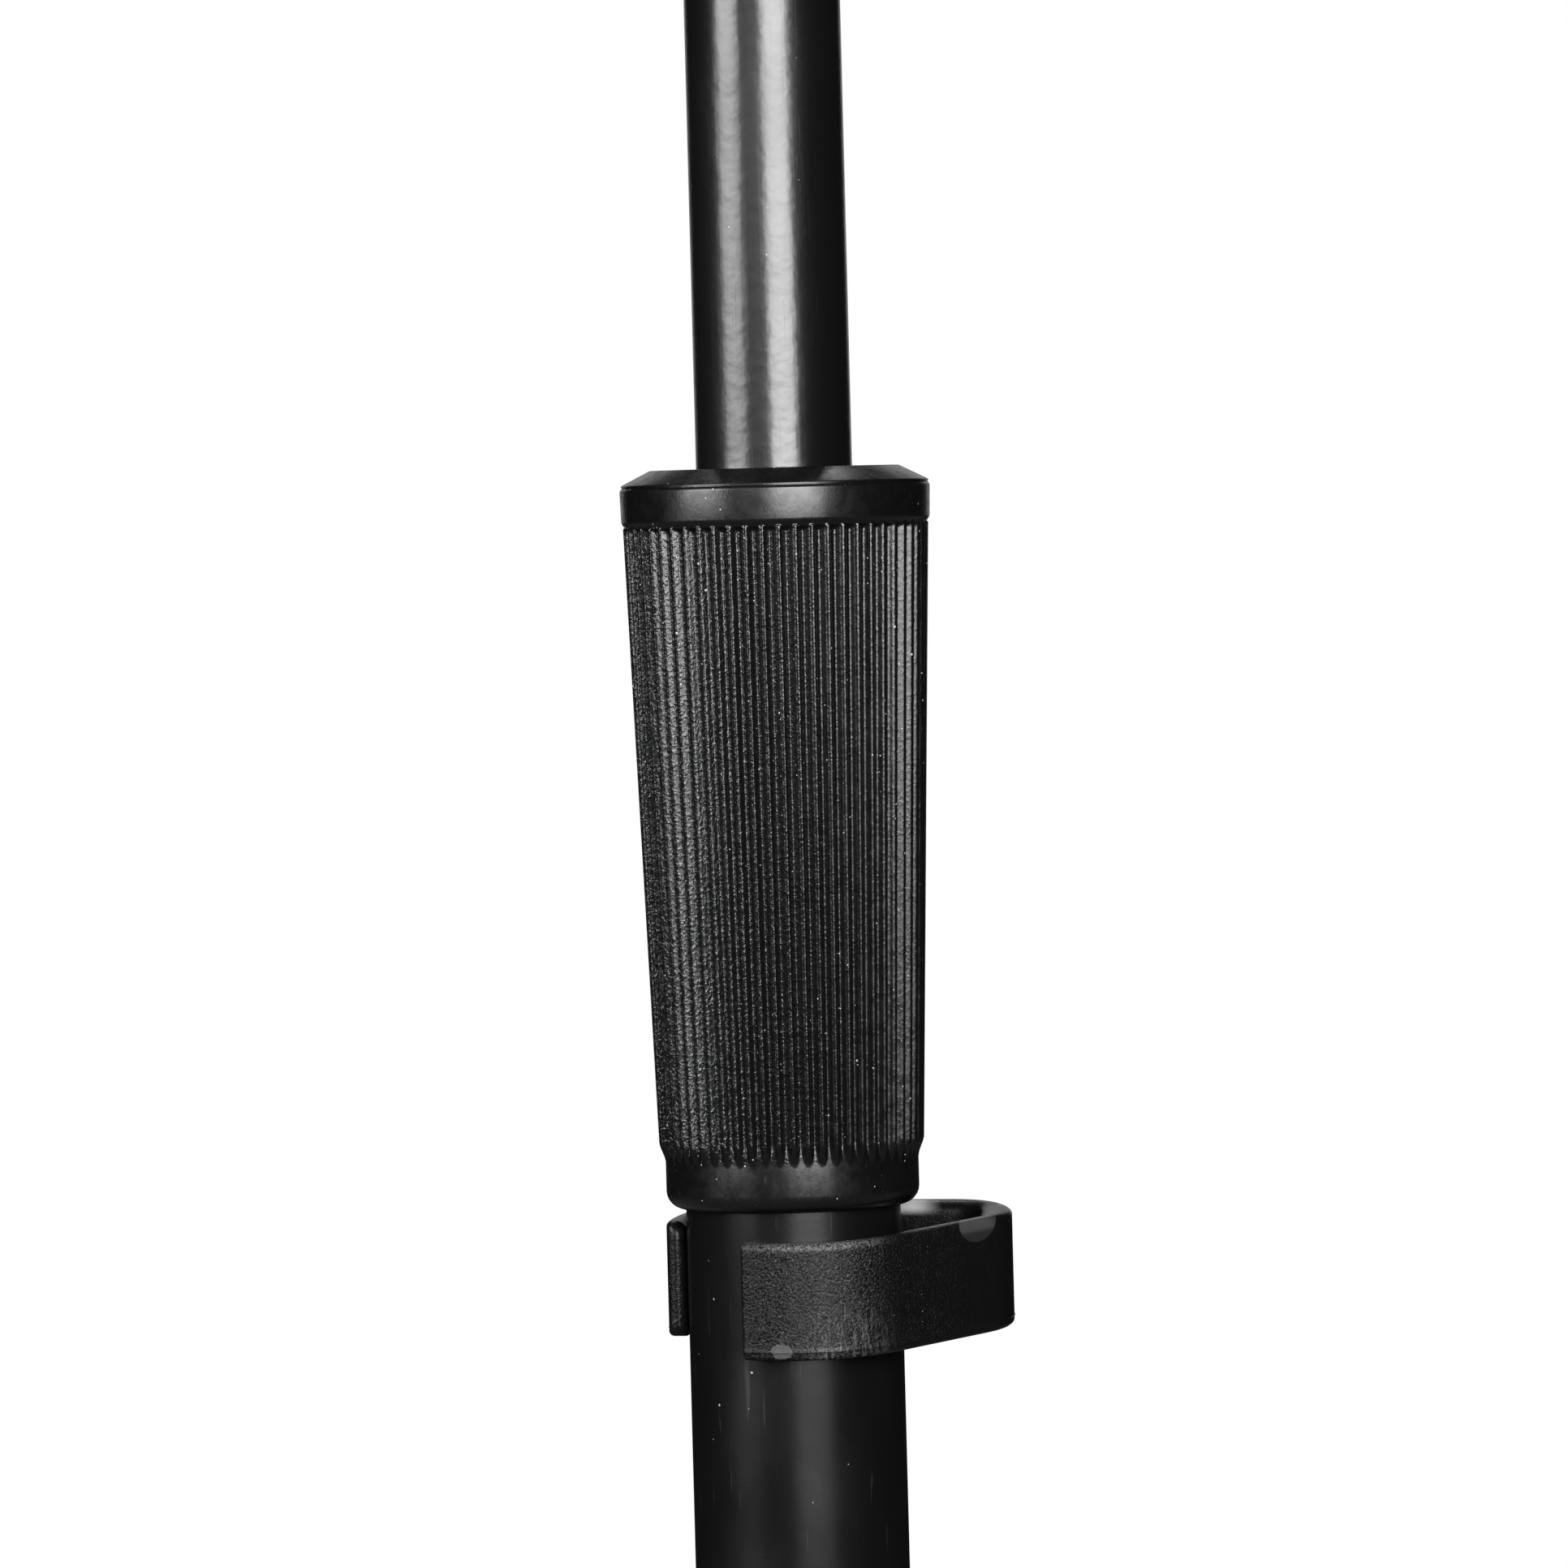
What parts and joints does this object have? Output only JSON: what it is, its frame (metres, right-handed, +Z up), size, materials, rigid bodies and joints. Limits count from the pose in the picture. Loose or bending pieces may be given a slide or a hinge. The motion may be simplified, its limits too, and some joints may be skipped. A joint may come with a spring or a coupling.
{
  "type": "music stand",
  "caption": "Music stand: perforated desk that tilts on a telescopic column with a quarter-turn ribbed clutch, a push-fit cable clip and a folding tripod.",
  "frame": {"origin": "on the column's axis, at the floor that the three feet stand on", "axes": "+Z up along the column, -Y towards the reader who faces the desk, +X to the reader's right, the side that the cable clip's loop and the tilt knob are on"},
  "size_m": [0.5858, 0.5098, 1.2415],
  "materials": {
    "upper_tube_gloss": "gloss black paint",
    "lower_tube_satin": "satin black paint",
    "grip_plastic": "moulded black, polished cap, satin ribs",
    "clip_plastic": "coarse-grained moulded black, scuffed",
    "bush_plastic": "natural acetal",
    "fibre_washer": "red-brown vulcanised fibre",
    "knob_plastic": "fine-grained moulded black",
    "zinc_casting": "black powder coat on die casting",
    "leg_satin": "satin black paint",
    "desk_powder": "fine-textured black powder coat",
    "black_fastener": "black oxide",
    "plated_steel": "zinc plated",
    "brass_insert": "turned brass",
    "foot_rubber": "moulded rubber"
  },
  "bodies": {
    "column": {"lower_tube": "lower_tube_satin", "clutch_neck": "plated_steel", "neck_pins": "plated_steel", "clutch_collet": "bush_plastic", "tripod_hub": "zinc_casting", "tube_insert": "plated_steel", "base_washer": "plated_steel", "base_screw": "plated_steel", "leg_pivot_pins": "black_fastener"},
    "grip": {"grip_sleeve": "grip_plastic", "thrust_ring": "plated_steel"},
    "clip": {"cable_clip": "clip_plastic"},
    "slider": {"guide_bush": "bush_plastic"},
    "mast": {"upper_tube": "upper_tube_gloss", "mast_end_plug": "plated_steel", "bush_washer": "plated_steel", "bush_screw": "plated_steel", "tilt_head": "zinc_casting", "head_pin": "black_fastener"},
    "desk": {"desk_plate": "desk_powder", "desk_shelf": "desk_powder", "desk_bracket": "desk_powder", "bracket_rivets": "black_fastener", "shelf_rivets": "black_fastener", "friction_washers": "fibre_washer", "tilt_bolt": "plated_steel", "bolt_washer": "plated_steel"},
    "knob": {"tilt_knob": "knob_plastic", "knob_insert": "brass_insert"},
    "leg_1": {"leg_1_tube": "leg_satin", "leg_1_knuckle": "zinc_casting", "leg_1_rivet": "black_fastener", "leg_1_foot": "foot_rubber"},
    "leg_2": {"leg_2_tube": "leg_satin", "leg_2_knuckle": "zinc_casting", "leg_2_rivet": "black_fastener", "leg_2_foot": "foot_rubber"},
    "leg_3": {"leg_3_tube": "leg_satin", "leg_3_knuckle": "zinc_casting", "leg_3_rivet": "black_fastener", "leg_3_foot": "foot_rubber"}
  },
  "joints": [
    {"name": "leg_1_fold", "type": "hinge", "parent": "column", "child": "leg_1", "pos_m": [0, -0.04, 0.1], "axis": [1, 0, 0], "range_deg": [0, 72]},
    {"name": "leg_2_fold", "type": "hinge", "parent": "column", "child": "leg_2", "pos_m": [0.03464, 0.02, 0.1], "axis": [-0.5, 0.866, 0], "range_deg": [0, 72]},
    {"name": "leg_3_fold", "type": "hinge", "parent": "column", "child": "leg_3", "pos_m": [-0.03464, 0.02, 0.1], "axis": [-0.5, -0.866, 0], "range_deg": [0, 72]},
    {"name": "clutch_turn", "type": "hinge", "parent": "column", "child": "grip", "pos_m": [0, 0, 0.68], "axis": [0, 0, 1], "range_deg": [0, 90]},
    {"name": "clip_slide", "type": "slide", "parent": "column", "child": "clip", "axis": [0, 0, -1], "range_m": [0, 0.475]},
    {"name": "height_slide", "type": "slide", "parent": "column", "child": "slider", "axis": [0, 0, 1], "range_m": [-0.255, 0.225]},
    {"name": "mast_swivel", "type": "hinge", "parent": "slider", "child": "mast", "pos_m": [0, 0, 0.4], "axis": [0, 0, 1], "continuous": true},
    {"name": "desk_tilt", "type": "hinge", "parent": "mast", "child": "desk", "pos_m": [0, 0, 1.036], "axis": [-1, 0, 0], "range_deg": [-25, 60]},
    {"name": "knob_turn", "type": "hinge", "parent": "desk", "child": "knob", "pos_m": [0.012, 0, 1.036], "axis": [1, 0, 0], "range_deg": [0, 180]}
  ]
}
